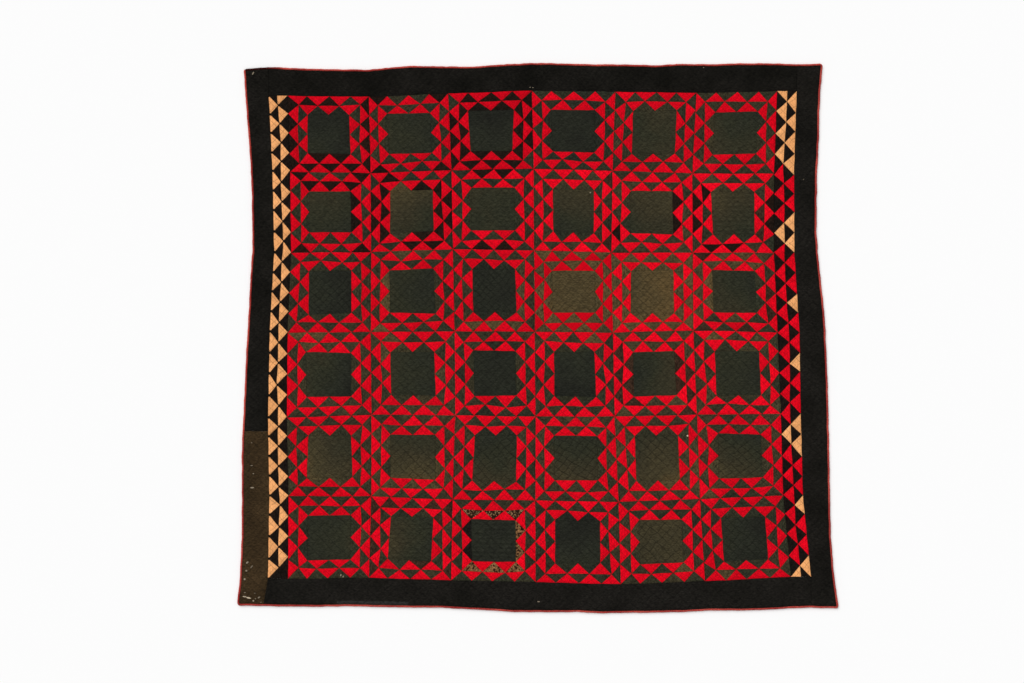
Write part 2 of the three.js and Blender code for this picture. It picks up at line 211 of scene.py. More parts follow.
# Batting showing through worn places: x, y, length and width in millimetres, turn in degrees and
# how bare it is
WORN_PLACES = [
    (-977, 908, 12, 5, 62, 0.45), (-27, 860, 5, 3, 10, 0.5), (-17, 859, 5, 3, 0, 0.5),
    (180, 499, 5, 4, 0, 0.7), (568, 928, 4, 3, 40, 0.5), (911, 544, 4, 3, 60, 0.4),
    (513, -335, 6, 6, 30, 1.35), (-676, -813, 8, 4, 70, 0.7), (-668, -818, 7, 4, 60, 0.6),
    (2, -904, 9, 4, 0, 0.5), (-982, -359, 4, 3, 10, 0.6), (-982, -437, 8, 3, 0, 0.5),
    (-976, -465, 5, 3, 10, 0.65), (-980, -513, 13, 5, 5, 0.6), (-997, -770, 10, 6, 40, 0.6),
    (-982, -784, 12, 4, 50, 0.42), (-1000, -798, 7, 6, 0, 0.63), (-1006, -827, 7, 6, 10, 0.69),
    (-1005, -873, 6, 3, 0, 0.5), (-971, -875, 4, 3, 0, 0.5), (-1006, -887, 14, 4, -8, 0.95),
    (-992, -891, 16, 5, -12, 1.2), (-976, -901, 6, 5, 0, 0.75), (-969, -894, 4, 4, 0, 0.5),
    (-957, -890, 9, 5, 35, 0.5), (-950, -906, 5, 3, 20, 0.5),
]

# A grey strip mends the bottom border beside its binding
MEND_FROM, MEND_TO = -685 * MM, -444 * MM
MEND_CELLS = 3
MEND_THICKNESS = 0.5 * MM

# Slanting stitches that hold the binding's fold down on the borders
STITCH_STEP = 6 * MM
STITCH_LEAN = 1.6 * MM
STITCH_BITE = 1.5 * MM
STITCH_RISE = 1.3 * MM
STITCH_THREAD = 0.3 * MM
STITCH_SWING = 0.3
STITCH_SEED = 7

# The top binding is dark beside the left corner: from where to where it comes back to red
DARK_BINDING_ENDS = (-0.935, -0.870)
DARK_BINDING_SHADE = 0.08

# Tufts of batting in the worn places: height, how far their fibres stray and how coarse they are
TUFT_HEIGHT = 0.9 * MM
TUFT_RAGGEDNESS = 2.2 * MM
TUFT_FIBRE = 3.0 * MM

# Patterns in the cloth, in millimetres: clouds of fading, slubs, threads of the nap, ribs, crimp
CLOUD_SIZE = 105
SLUB_SIZE = 5
NAP_SIZE = 2.6
RIB_SPACING = 9
CRIMP_SPACING = 16

rng = np.random.default_rng(1886)


def seeded_waves(lengths, reach, draw=rng):
    """Waves of these lengths in millimetres, each at a drawn turn and start."""
    turns = draw.uniform(0, math.pi, len(lengths))
    starts = draw.uniform(0, 2 * math.pi, len(lengths))
    return [(length * MM, turn, start, reach)
            for length, turn, start in zip(lengths, turns, starts)]


SIDEWAYS_DRIFT = seeded_waves((310, 170, 95, 60), 0.3 * MM)
ENDWAYS_DRIFT = seeded_waves((280, 150, 105, 65), 0.3 * MM)
BATTING_LUMPS = seeded_waves((150, 90, 61, 43, 29), 0.14 * MM)
STITCH_TENSION = seeded_waves((240, 130, 74, 41), 0.13)
LINE_WANDER = seeded_waves((260, 140, 75, 45), 0.07, np.random.default_rng(1887))


def rippled(places, waves):
    """Sum of the waves at each place."""
    total = np.zeros(places.shape[:-1])
    for length, turn, start, reach in waves:
        along = places[..., 0] * math.cos(turn) + places[..., 1] * math.sin(turn)
        total += reach * np.sin(2 * math.pi * along / length + start)
    return total


def seam_lines(node, out):
    """Inner and outer line of a piece's underside, point for point, clockwise round the quilt."""
    corners = np.array([v.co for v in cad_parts[node].data.vertices])
    ground = np.unique(np.round(corners[corners[:, 2] < FLOOR_TOUCH, :2], 6), axis=0)
    ahead = np.array((out[1], -out[0]))
    pairs = ground[np.argsort(ground @ ahead)].reshape(-1, 2, 2)
    order = np.argsort(pairs @ np.array(out), axis=1)
    rows = np.arange(len(pairs))
    return pairs[rows, order[:, 0]], pairs[rows, order[:, 1]]


def binding_lines(node, out):
    """Inner and outer line of a binding, which rolls under a little where it meets the floor."""
    near, floor_line = seam_lines(node, out)
    return near, near + (floor_line - near) / BINDING_FLOOR_SHARE


def quilt_corners():
    """Each corner of the quilt and the way into the quilt from it."""
    top = binding_lines("binding_top", NORTH)[1]
    bottom = binding_lines("binding_bottom", SOUTH)[1]
    return [(top[0], (1, -1)), (top[-1], (-1, -1)), (bottom[0], (-1, 1)), (bottom[-1], (1, 1))]


QUILT_CORNERS = quilt_corners()


def hand_laid(places):
    """Places as sewn by hand: seams drift gently, and the quilt's corners are rounded off."""
    places = places + np.stack(
        [rippled(places, SIDEWAYS_DRIFT), rippled(places, ENDWAYS_DRIFT)], axis=-1)
    for corner, inward in QUILT_CORNERS:
        reach = CORNER_ROUND - (places - corner) * inward
        near_corner = (reach > 0).all(axis=-1)
        square = reach[near_corner]
        rounded = square * (square.max(axis=-1) / np.linalg.norm(square, axis=-1))[:, None]
        places[near_corner] = corner + (CORNER_ROUND - rounded) * inward
    return places


def ruled(near, far, stations, across):
    """Places between two lines: stations count along their points, across runs from 0 to 1."""
    first = np.clip(np.floor(stations).astype(int), 0, len(near) - 2)
    part = (stations - first)[..., None]
    low = near[first] * (1 - part) + near[first + 1] * part
    high = far[first] * (1 - part) + far[first + 1] * part
    return low * (1 - across[..., None]) + high * across[..., None]


def step_lengths(line):
    """Length of each step along a line of points."""
    return np.linalg.norm(np.diff(line, axis=0), axis=1)


def mean_size(near, far):
    """Mean width and length of a piece between its two lines."""
    length = (step_lengths(near).sum() + step_lengths(far).sum()) / 2
    return np.linalg.norm(far - near, axis=1).mean(), length


def even_stations(near, far, count):
    """Stations that run evenly along two lines."""
    steps = (step_lengths(near) + step_lengths(far)) / 2
    reached = np.concatenate([[0], np.cumsum(steps)])
    return np.interp(np.linspace(0, reached[-1], count), reached, np.arange(len(near)))


def seam_stray(*shape):
    """How far each seam point of a pieced panel strays both ways, in units."""
    stray = rng.normal(0, PIECING_STRAY, (*shape, 2))
    return np.clip(stray, -2 * PIECING_STRAY, 2 * PIECING_STRAY)


def triangle_stray(line, along, inset, outward, at):
    """Stray inside triangles, straight from corner to corner. at gives a corner's own stray."""
    number = np.floor((along - line - ~outward) / 2).astype(int)
    start = line + 2 * number + ~outward
    base_line, tip_line = np.where(outward, (line, line + 1), (line + 1, line))
    tip = np.where(outward, inset, 1 - inset)
    first = (2 - (along - start) - tip) / 2
    last = (along - start - tip) / 2
    return (first[..., None] * at(start, base_line) + last[..., None] * at(start + 2, base_line)
            + tip[..., None] * at(start + 1, tip_line))


def cell_diagonals(rows, columns):
    """True where a cell is cut along its rising diagonal, so every slanting seam is an edge."""
    i, j = np.indices((rows, columns))
    on_rising = (i - j) % CELLS == 0
    on_falling = (i + j + 1) % CELLS == 0
    return on_rising | (~on_falling & ((i + j) % 2 == 0))


def triangle_middles(rising):
    """Middle of each cell's two triangles, in cells."""
    i, j = np.indices(rising.shape)
    first = np.stack([np.where(rising, i + 2 / 3, i + 1 / 3), j + 1 / 3], axis=-1)
    second = np.stack([np.where(rising, i + 1 / 3, i + 2 / 3), j + 2 / 3], axis=-1)
    both = np.stack([first, second], axis=2)
    return both[..., 0], both[..., 1]


def soft_rise(distance):
    """0 on a seam, rising to 1 in a rounded shoulder."""
    return 1 - (1 - np.clip(distance, 0, 1)) ** 2


def quilting_lines(places, spacing=PLAIN_QUILTING, slopes=USUAL_SLOPES):
    """Where places lie on the quilting: whole numbers are the falling and the rising lines."""
    x, y = np.moveaxis(places, -1, 0)
    fall, rise = np.radians(slopes)
    wander = rippled(places, LINE_WANDER)
    return np.stack([(x * math.sin(fall) + y * math.cos(fall)) / spacing + wander,
                     (x * math.sin(rise) - y * math.cos(rise)) / spacing + wander], axis=-1)


def quilted_heights(places, from_seam, diamond_loft, quilting):
    """Heights of a quilted face: low on seams and quilting lines, swelling between them."""
    one_way, other_way = np.abs(np.sin(math.pi * np.moveaxis(quilting, -1, 0)))
    tension = np.clip(USUAL_TENSION + rippled(places, STITCH_TENSION), *TENSION_RANGE)
    swell = PATCH_LOFT + diamond_loft * tension * one_way * other_way
    swell = swell + rippled(places, BATTING_LUMPS)
    unevenness = rng.normal(0, CLOTH_UNEVENNESS, from_seam.shape)
    return SEAM_HEIGHT + soft_rise(from_seam / SEAM_REACH) * swell + unevenness


def placed(name, data):
    """A new object in the scene."""
    made = bpy.data.objects.new(name, data)
    bpy.context.scene.collection.objects.link(made)
    return made


def mesh_piece(name, points, faces, materials, cloth_of_face, marks, uv_maps):
    """A mesh object from points and faces, with cloths, marks and map places."""
    mesh = bpy.data.meshes.new(name)
    mesh.from_pydata(points.tolist(), [], faces)
    for material in materials:
        mesh.materials.append(material)
    mesh.polygons.foreach_set("material_index", cloth_of_face.astype(np.int32))
    for mark, values in marks.items():
        domain = "FACE" if len(values) == len(faces) else "POINT"
        attribute = mesh.attributes.new(mark, "FLOAT", domain)
        attribute.data.foreach_set("value", values.astype(np.float32))
    for map_name, places in uv_maps.items():
        uv_map = mesh.uv_layers.new(name=map_name)
        uv_map.uv.foreach_set("vector", places.astype(np.float32).ravel())
    mesh.polygons.foreach_set("use_smooth", np.ones(len(faces), bool))
    mesh.set_sharp_from_angle(angle=SHARP_EDGE)
    mesh.validate()
    return placed(name, mesh)


def unfolded(grid_place, band, bands, band_cells, columns):
    """Places on the baked map of a long grid cut into bands, one above the other."""
    across = (grid_place[:, 0] - band * band_cells) / (band_cells + 2)
    up = (band + grid_place[:, 1] / (columns + 2)) / bands
    return np.stack([across, UNDERSIDE_SHARE + (1 - UNDERSIDE_SHARE) * up], axis=-1)


def cloth_marks(shape, **given):
    """Marks of every face: the usual ones, and those given."""
    usual = {"fade": USUAL_FADE, "lot": 1.0, "cloud": 1.0, "pull": USUAL_PULL, "grain": ACROSS,
             "crimp": 0.0}
    return {mark: np.broadcast_to(given.get(mark, value), shape) for mark, value in usual.items()}


def layer_faces(rows, columns):
    """Faces of a closed layer over a grid of points: the triangles of its face, the sides that hang
    from its rim and its underside. Also the rim, and the triangle above each side."""
    rising = cell_diagonals(rows, columns)
    index = np.arange((rows + 1) * (columns + 1)).reshape(rows + 1, columns + 1)
    a, b, c, d = index[:-1, :-1], index[1:, :-1], index[1:, 1:], index[:-1, 1:]
    first = np.stack([a, b, np.where(rising, c, d)], axis=-1)
    second = np.stack([np.where(rising, a, b), c, d], axis=-1)
    triangles = np.stack([first, second], axis=2).reshape(-1, 3)

    rim_i = np.concatenate([np.arange(rows), np.full(columns, rows), np.arange(rows, 0, -1),
                            np.zeros(columns, int)])
    rim_j = np.concatenate([np.zeros(rows, int), np.arange(columns), np.full(rows, columns),
                            np.arange(columns, 0, -1)])
    rim = index[rim_i, rim_j]
    ground = index.size + np.arange(len(rim))
    sides = np.stack([ground, np.roll(ground, -1), np.roll(rim, -1), rim], axis=-1)

    cell_i, cell_j = (np.minimum(np.minimum(at, np.roll(at, -1)), last)
                      for at, last in ((rim_i, rows - 1), (rim_j, columns - 1)))
    half = np.concatenate([np.zeros(rows), ~rising[-1], np.ones(rows), rising[0][::-1]])
    above = (cell_i * columns + cell_j) * 2 + half.astype(int)
    return triangles, sides, ground[::-1], rim, above


def baked_places(rows, columns, bands, rim, above, corners):
    """Places on the baked map of the corners of a layer's faces: its face and sides spread flat,
    and its underside below them."""
    grid = np.indices((rows + 1, columns + 1)).reshape(2, -1).T
    step_out = (grid[rim] == (rows, columns)) * 1 - (grid[rim] == 0)
    on_corner = step_out.all(axis=1)
    step_out[on_corner] = 0
    spread = np.concatenate([grid, grid[rim] + step_out]) + 1.0
    row_of_face = np.concatenate([np.repeat(np.arange(rows), columns * 2 * 3),
                                  np.repeat(above // (columns * 2), 4)])
    band_cells = math.ceil(rows / bands)
    above_floor, on_floor = np.split(spread[corners], [len(row_of_face)])
    flat_cut = unfolded(above_floor, row_of_face // band_cells, bands, band_cells, columns)
    underside = on_floor / (rows + 2, columns + 2) * (1, UNDERSIDE_SHARE * UNDERSIDE_FILL)
    return np.concatenate([flat_cut, underside])


def laid_cloth(name, places, heights, from_seam, quilting, letters, marks, bands=1):
    """A closed layer of cloth over a grid: quilted face, sides down to the floor, flat underside.

    letters and marks belong to the two triangles of every cell.
    """
    rows, columns = heights.shape[0] - 1, heights.shape[1] - 1
    triangles, sides, underside, rim, above = layer_faces(rows, columns)
    faces = triangles.tolist() + sides.tolist() + [underside.tolist()]
    face_points = np.concatenate([places, heights[..., None]], axis=-1).reshape(-1, 3)
    points = np.concatenate([face_points, face_points[rim] * (1, 1, 0)])

    # Each side face is the turned edge of the triangle above it
    face_letters = letters.ravel()
    face_letters = np.concatenate([face_letters, face_letters[above], [UNDERSIDE_CLOTH]])
    used = sorted(set(face_letters))
    face_marks = {}
    for mark, values in marks.items():
        flat = values.ravel()
        face_marks[mark] = np.concatenate([flat, flat[above], [flat.mean()]])
    face_marks["seam"] = np.concatenate([from_seam.ravel(), np.ones(len(rim))])

    # One map follows the quilting, the other is the flat cut for baking
    on_lines = quilting.reshape(-1, 2)
    on_lines = np.concatenate([on_lines, on_lines[rim]])
    corners = np.concatenate([triangles.ravel(), sides.ravel(), underside])
    uv_maps = {"quilting": on_lines[corners],
               "OFBake": baked_places(rows, columns, bands, rim, above, corners)}
    return mesh_piece(name, points, faces, [CLOTHS[letter] for letter in used],
                      np.searchsorted(used, face_letters), face_marks, uv_maps)


def ring_place(u, v):
    """Where points of a block lie: ring, inset in it, side, and which triangle of the side."""
    across, down = u - UNITS / 2, v - UNITS / 2
    depth = UNITS / 2 - np.maximum(np.abs(across), np.abs(down))
    ring = np.clip(np.floor(depth), 0, RINGS).astype(int)
    upright = np.abs(across) > np.abs(down)
    side = np.where(upright, np.where(across < 0, LEFT, RIGHT), np.where(down < 0, TOP, BOTTOM))
    along = np.where(upright, v, u) - ring
    to_tip = np.minimum(along % 2, 2 - along % 2) - (depth - ring)
    outward = to_tip > 0
    number = np.clip((along - ~outward) // 2, 0, UNITS // 2 - 1).astype(int)
    return {"ring": ring, "inset": depth - ring, "upright": upright, "side": side,
            "to_tip": to_tip, "outward": outward, "number": number}


def from_block_seam(place):
    """Distance from the nearest seam of a block, in units."""
    in_ring = np.minimum(np.minimum(place["inset"], 1 - place["inset"]),
                         np.abs(place["to_tip"]) * SLANT)
    return np.where(place["ring"] == RINGS, place["inset"], in_ring)


def block_cloth(name, row, column, u, v):
    """Letter, fade and dye lot of the cloth at points of a block."""
    place = ring_place(u, v)
    in_ring = place["ring"] < RINGS
    turned = bool((row + column) % 2)
    red = in_ring & (place["outward"] ^ place["upright"] ^ turned)
    letters = np.where(red, "d" if name == DULL_RED_BLOCK else "r", "g")
    centre_fade, ring_fade = (WOOL_FADE[chart[row][column]] for chart in (CENTRES, RING_WOOL))
    matched = (place["ring"] == RINGS - 1) & ~place["outward"] & (name not in ODD_POINTS)
    sorted_scraps = in_ring & ~(matched & ~red)
    fade = np.where(red, USUAL_FADE, np.where(sorted_scraps, ring_fade, centre_fade))
    words = SCRAPS.get(name, "").split()
    for where, scraps in zip(words[::2], words[1::2]):
        on_side = in_ring & ~red & (place["side"] == SIDES[where[:-1]])
        on_side &= place["ring"] == int(where[-1]) - 1
        for number, letter in enumerate(scraps):
            cut = on_side & (place["number"] == number)
            if letter != "g":
                letters[cut] = "g" if letter == "f" else letter
                fade[cut] = SCRAP_FADE.get(letter, USUAL_FADE)
                sorted_scraps |= cut
    faded_side = FADED_SIDES[row].split()[column].count
    east, north = faded_side("e") - faded_side("w"), faded_side("n") - faded_side("s")
    to_east, to_north = (np.clip(w / (UNITS / 2 - RINGS), -1, 1)
                         for w in (u - UNITS / 2, UNITS / 2 - v))
    fade = fade + np.where(sorted_scraps, 0, FADE_STEP * (east * to_east + north * to_north))
    row_of_triangles = (place["side"] * RINGS + place["ring"]) * 2 + place["outward"]
    patch = np.where(in_ring, row_of_triangles * UNITS // 2 + place["number"], 0)
    patches = len(SIDES) * RINGS * UNITS
    lots = np.where(sorted_scraps, rng.normal(1, LOT_SPREAD, patches)[patch], 1)
    # Reds take painted shade, deeper towards the top-left where the light falls off
    lots = np.where(red, lots * RED_SHADE_DEPTH[RED_PAINTED_SHADE[row][column]], lots)
    spread = SCRAP_SPREAD.get(RING_WOOL[row][column], USUAL_SPREAD)
    fades = np.where(sorted_scraps, rng.normal(SCRAP_FADING, spread, patches)[patch], 0)
    return letters, fade + fades, lots


def block_stray(u, v):
    """Stray at points of a block whose outer seams are straight and whose corners stay put."""
    points = seam_stray(UNITS + 1, UNITS + 1)
    points[[0, -1], :, 0] = 0
    points[:, [0, -1], 1] = 0
    low, middle, high = RINGS, UNITS // 2, UNITS - RINGS
    for edge in (low, high):
        points[middle, edge] = (points[low, edge] + points[high, edge]) / 2
        points[edge, middle] = (points[edge, low] + points[edge, high]) / 2
    place = ring_place(u, v)
    side, upright = place["side"], place["upright"]
    far_side = (side == RIGHT) | (side == BOTTOM)

    def at(along, depth):
        """Stray of a seam point, along its side and in from it."""
        along = np.clip(along, 0, UNITS)
        across = np.where(far_side, UNITS - depth, depth)
        return points[np.where(upright, across, along), np.where(upright, along, across)]

    line = np.minimum(place["ring"], RINGS - 1)
    in_rings = triangle_stray(line, np.where(upright, v, u), place["inset"], place["outward"], at)
    s, t = ((w - low) / (high - low) for w in (u[..., None], v[..., None]))
    in_centre = ((1 - s) * (1 - t) * points[low, low] + s * (1 - t) * points[high, low]
                 + (1 - s) * t * points[low, high] + s * t * points[high, high])
    return np.where((place["ring"] == RINGS)[..., None], in_centre, in_rings)


def pieced_block(row, column):
    """A plain centre inside two rings of triangles."""
    name = f"r{row + 1}c{column + 1}"
    node = f"block_{name}"
    near, far = seam_lines(node, NORTH)
    size = UNITS * CELLS
    i, j = np.indices((size + 1, size + 1))
    u, v = i / CELLS, UNITS - j / CELLS
    stray = block_stray(u, v)
    sewn_u, sewn_v = (np.interp(w, DRAFTED_LINES, SEWN_LINES) for w in (u, v))
    places = ruled(near, far, (sewn_u + stray[..., 0]) / UNITS,
                   1 - (sewn_v + stray[..., 1]) / UNITS)
    place = ring_place(u, v)
    pull = BOLD_PULL.get(name, USUAL_PULL)
    loft = np.where(place["ring"] == RINGS, pull * CENTRE_DIAMOND_LOFT, RING_DIAMOND_LOFT)
    from_seam = from_block_seam(place)
    quilting = quilting_lines(places, ROW_QUILTING[row], ODD_SLOPES.get(name, USUAL_SLOPES))
    heights = quilted_heights(places, from_seam, loft, quilting)
    middle_i, middle_j = triangle_middles(cell_diagonals(size, size))
    u, v = middle_i / CELLS, UNITS - middle_j / CELLS
    letters, fade, lot = block_cloth(name, row, column, u, v)
    place = ring_place(u, v)
    centre = place["ring"] == RINGS
    cloud = CLOUD_SHARE.get(CENTRES[row][column], USUAL_CLOUD)
    marks = cloth_marks(
        letters.shape, fade=fade, lot=lot, cloud=np.where(centre, cloud, RING_CLOUD),
        pull=np.where(centre, pull, USUAL_PULL),
        grain=np.where(centre, ACROSS, np.where(place["upright"], DOWNWARDS, EVEN)),
        crimp=np.where(centre, CRIMP.get(name, 0.0), 0.0))
    piece = laid_cloth(f"sewn_{node}", hand_laid(places), heights, from_seam, quilting, letters,
                       marks)
    finished(piece, node, near, far)


def strip_place(p, q):
    """Where points of a strip lie, p units in and q units down: column, inset and triangle."""
    column = np.clip(np.floor(p), 0, STRIP_UNITS - 1).astype(int)
    inset = p - column
    along = (q - column) % 2
    return column, inset, np.minimum(along, 2 - along) - inset


def strip_cloth(p, q, outer, inner, lost_tips):
    """Letter and dye lot of the triangles of a strip. Where the light ones lost their tips to the
    seam, dark cloth shows between them."""
    column, inset, to_tip = strip_place(p, q)
    light = to_tip > 0
    if lost_tips:
        light &= (inset > 1 / CELLS) | (to_tip + inset > 1 / CELLS)
    outer_number = np.clip(q // 2, 0, len(outer) - 1).astype(int)
    inner_number = np.clip((q + 1) // 2, 0, len(inner) - 1).astype(int)
    light_letters = np.where(column == 0, np.array(list(outer))[outer_number],
                             np.array(list(inner))[inner_number])
    letters = np.where(light, light_letters, "k")
    lots = rng.normal(1, LOT_SPREAD, STRIP_LOTS)
    patch = np.floor(q).astype(int) * STRIP_UNITS + column
    return letters, lots[(patch + LIGHT_LOT_STEP * light) % STRIP_LOTS]


def pieced_strip(node, out, outer, inner, slip, lost_tips=False):
    """Two columns of triangles down one side of the blocks."""
    near, far = seam_lines(node, out)
    length = BLOCKS * UNITS
    i, j = np.indices((length * CELLS + 1, STRIP_UNITS * CELLS + 1))
    downwards = out == EAST

    def from_corner(row, column):
        """Units in from the outer seam and down from the top."""
        down = row / CELLS
        return STRIP_UNITS - column / CELLS, down if downwards else length - down

    # Seam points, with one more past either end that mirrors the one before the end
    points = seam_stray(STRIP_UNITS + 1, length + 3)
    points[[0, -1], :, 0] = 0
    points[:, [1, -2], 1] = 0
    points[:, 0] = points[:, 2] * (1, -1)
    points[:, -1] = points[:, -3] * (1, -1)
    points[..., 1] += np.interp(np.arange(-1, length + 2), np.linspace(0, length, len(slip)), slip)
    p, q = from_corner(i, j)
    column, inset, to_tip = strip_place(p, q)
    stray = triangle_stray(column, q, inset, to_tip > 0,
                           lambda along, line: points[line, np.clip(along + 1, 0, length + 2)])
    p_now, q_now = p + stray[..., 0], q + stray[..., 1]
    stations = (q_now if downwards else length - q_now) / UNITS
    places = ruled(near, far, stations, 1 - p_now / STRIP_UNITS)
    from_seam = np.minimum(np.minimum(inset, 1 - inset), np.abs(to_tip) * SLANT)
    quilting = quilting_lines(places)
    heights = quilted_heights(places, from_seam, RING_DIAMOND_LOFT, quilting)
    middles = triangle_middles(cell_diagonals(length * CELLS, STRIP_UNITS * CELLS))
    letters, lot = strip_cloth(*from_corner(*middles), outer, inner, lost_tips)
    marks = cloth_marks(letters.shape, lot=lot, grain=DOWNWARDS)
    piece = laid_cloth(f"sewn_{node}", hand_laid(places), heights, from_seam, quilting, letters,
                       marks, bands=LONG_BANDS)
    finished(piece, node, near, far)


def quilted_border(node, out, letter, fade, with_pieces):
    """A plain length of quilted cloth, with the mend where it is the bottom one."""
    near, far = seam_lines(node, out)
    width, length = mean_size(near, far)
    rows, columns = round(length / CELL), round(width / CELL)
    stations = even_stations(near, far, rows + 1)
    i, j = np.indices((rows + 1, columns + 1))
    places = ruled(near, far, stations[i], j / columns)
    from_seam = np.minimum(np.minimum(j, columns - j), np.minimum(i, rows - i)) / CELLS
    quilting = quilting_lines(places)
    heights = quilted_heights(places, from_seam, BORDER_DIAMOND_LOFT, quilting)
    letters = np.full((rows, columns, 2), letter)
    if node == "border_bottom":
        middle_x = places[:-1, :-1, 0]
        mend = (middle_x > MEND_FROM) & (middle_x < MEND_TO)
        mend[:, :columns - MEND_CELLS] = False
        letters[mend] = "s"
        heights[:-1, :-1][mend] += MEND_THICKNESS
    # A border's fade is its painted shade, darker at the top and left where the light falls off
    marks = cloth_marks(letters.shape, fade=fade)
    piece = laid_cloth(f"sewn_{node}", hand_laid(places), heights, from_seam, quilting, letters,
                       marks, bands=LONG_BANDS)
    finished(piece, node, near, far, with_pieces)


def rolled_tape(node, out):
    """Points of a binding, ring after ring along its run: a soft roll with small puckers."""
    near, far = binding_lines(node, out)
    count = round(step_lengths(far).sum() / BINDING_STEP)
    stations = even_stations(near, far, count + 1)
    share, height = np.array(BINDING_SECTION).T
    across = np.broadcast_to(share, (count + 1, len(share)))
    places = ruled(near, far, np.broadcast_to(stations[:, None], across.shape), across)
    run = np.arange(count + 1) * BINDING_STEP
    pucker = PUCKER_HEIGHT * np.sin(2 * math.pi * run / PUCKER_LENGTH)
    pucker += rng.normal(0, PUCKER_HEIGHT / 2, count + 1)
    raised = np.clip(height / BINDING_HEIGHT - 0.5, 0, None) * 2
    heights = height * MM + pucker[:, None] * raised
    wobble = rng.normal(0, BINDING_WOBBLE, count + 1)
    wobble = np.convolve(wobble, np.ones(WOBBLE_STEPS) / 2, mode="same")
    wobble[[0, -1]] = 0
    places = places + wobble[:, None, None] * share[:, None] * np.array(out)
    return np.concatenate([hand_laid(places), heights[..., None]], axis=-1)


def fold_stitches(node, fold):
    """Slanting stitches along the fold of a binding."""
    seam = bpy.data.meshes.new(f"{node}_seam")
    seam.from_pydata(fold.tolist(), [(k, k + 1) for k in range(len(fold) - 1)], [])
    stitches = grown(f"stitches_{node}", seam, SLANTING_STITCHES, {
        "Step": STITCH_STEP, "Lean": STITCH_LEAN, "Bite": STITCH_BITE, "Rise": STITCH_RISE,
        "Thread": STITCH_THREAD, "Seed": STITCH_SEED, "Material": SEWING_THREAD})
    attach(stitches, "root")
    return stitches


def turned_binding(node, out):
    """A tape folded over the raw edge, and the stitches that hold its fold down."""
    rings = rolled_tape(node, out)
    count, around = len(rings) - 1, len(BINDING_SECTION)
    station, turn = np.indices((count, around))
    corner_station = np.stack([station, station, station + 1, station + 1], axis=-1)
    corner_turn = np.stack([turn, turn + 1, turn + 1, turn], axis=-1)
    walls = (corner_station * around + corner_turn % around).reshape(-1, 4)
    ring = np.arange(around)
    faces = walls.tolist() + [ring[::-1].tolist(), (count * around + ring).tolist()]

    band_cells = math.ceil(count / BINDING_BANDS)
    grid_place = np.stack([corner_station.ravel() + 1, corner_turn.ravel() + 0.5], axis=-1)
    band = np.repeat(station.ravel() // band_cells, 4)
    flat_cut = unfolded(grid_place, band, BINDING_BANDS, band_cells, around)
    ends = np.tile(np.array(BINDING_SECTION) / (1, BINDING_HEIGHT) * BINDING_ENDS_SHARE, (2, 1))
    lot = np.ones(len(faces))
    if node == "binding_top":
        lot[:-2] = np.repeat(np.interp(rings[:-1, 0, 0], DARK_BINDING_ENDS,
                                       (DARK_BINDING_SHADE, 1)), around)
        lot[-2] = DARK_BINDING_SHADE
    piece = mesh_piece(f"sewn_{node}", rings.reshape(-1, 3), faces, [CLOTHS["a"]],
                       np.zeros(len(faces)), cloth_marks(len(faces), lot=lot),
                       {"OFBake": np.concatenate([flat_cut, ends])})
    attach(piece, "root")
    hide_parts(node)
    return [piece, fold_stitches(node, rings[:, 1])]


def outline_area(near, far):
    """Area of a piece between its two lines."""
    x, y = np.concatenate([near, far[::-1]]).T
    return abs(np.dot(x, np.roll(y, -1)) - np.dot(y, np.roll(x, -1))) / 2


def worn_through(piece):
    """Tufts of batting at the worn places of a laid piece, if it has any."""
    corners = np.array([v.co for v in piece.data.vertices])[:, :2]
    spots = [spot for spot in WORN_PLACES
             if np.linalg.norm(corners - np.array(spot[:2]) * MM, axis=1).min() < CELL]
    if not spots:
        return []
    x, y, length, width, turn, bare = np.array(spots, float).T
    count = len(spots)
    base = bpy.data.meshes.new(f"worn_{piece.name}")
    base.from_pydata((np.stack([x, y, np.zeros(count)], axis=-1) * MM).tolist(), [], [])
    half_sizes = np.stack([length / 2, width / 2, np.full(count, TUFT_HEIGHT / MM)], axis=-1) * MM
    base.attributes.new("half_size", "FLOAT_VECTOR", "POINT").data.foreach_set(
        "vector", half_sizes.astype(np.float32).ravel())
    for mark, values in (("turn", np.radians(turn)), ("bare", bare)):
        base.attributes.new(mark, "FLOAT", "POINT").data.foreach_set(
            "value", values.astype(np.float32))
    tufts = grown(f"worn_{piece.name}", base, BATTING_TUFTS, {
        "Cloth": piece, "Raggedness": TUFT_RAGGEDNESS, "Fibre": TUFT_FIBRE,
        "Material": COTTON_BATTING})
    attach(tufts, "root")
    return [tufts]


def finished(piece, node, near, far, with_pieces=()):
    with_pieces = [*with_pieces, *worn_through(piece)]
    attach(piece, "root")
    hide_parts(node)
    width, length = (float(size) for size in mean_size(near, far))
    area = float(outline_area(near, far))
    width = max(width, area / length)


def linear(hex_colour):
    """A linear colour from an sRGB hex value."""
    channels = [(hex_colour >> shift & 255) / 255 for shift in (16, 8, 0)]
    return (*[c / 12.92 if c <= 0.04045 else ((c + 0.055) / 1.055) ** 2.4 for c in channels], 1)


def add(tree, kind, inputs=None, **settings):
    """One node: settings are its own, inputs are values for its sockets, or outputs to link. A node
    given as an input is linked by its first output."""
    made = tree.nodes.new(kind)
    for key, value in settings.items():
        setattr(made, key, value)
    for socket, value in (inputs or {}).items():
        if isinstance(value, bpy.types.Node):
            value = next(output for output in value.outputs if output.enabled)
        if isinstance(value, bpy.types.NodeSocket):
            tree.links.new(value, made.inputs[socket])
        else:
            made.inputs[socket].default_value = value
    return made


def per_metre(size_mm):
    """Noise scale whose grains are about this size."""
    return 1 / (size_mm * MM)


def wave_scale(size_mm):
    """Wave scale whose bands are this far apart."""
    return 2 * math.pi / (20 * size_mm * MM)


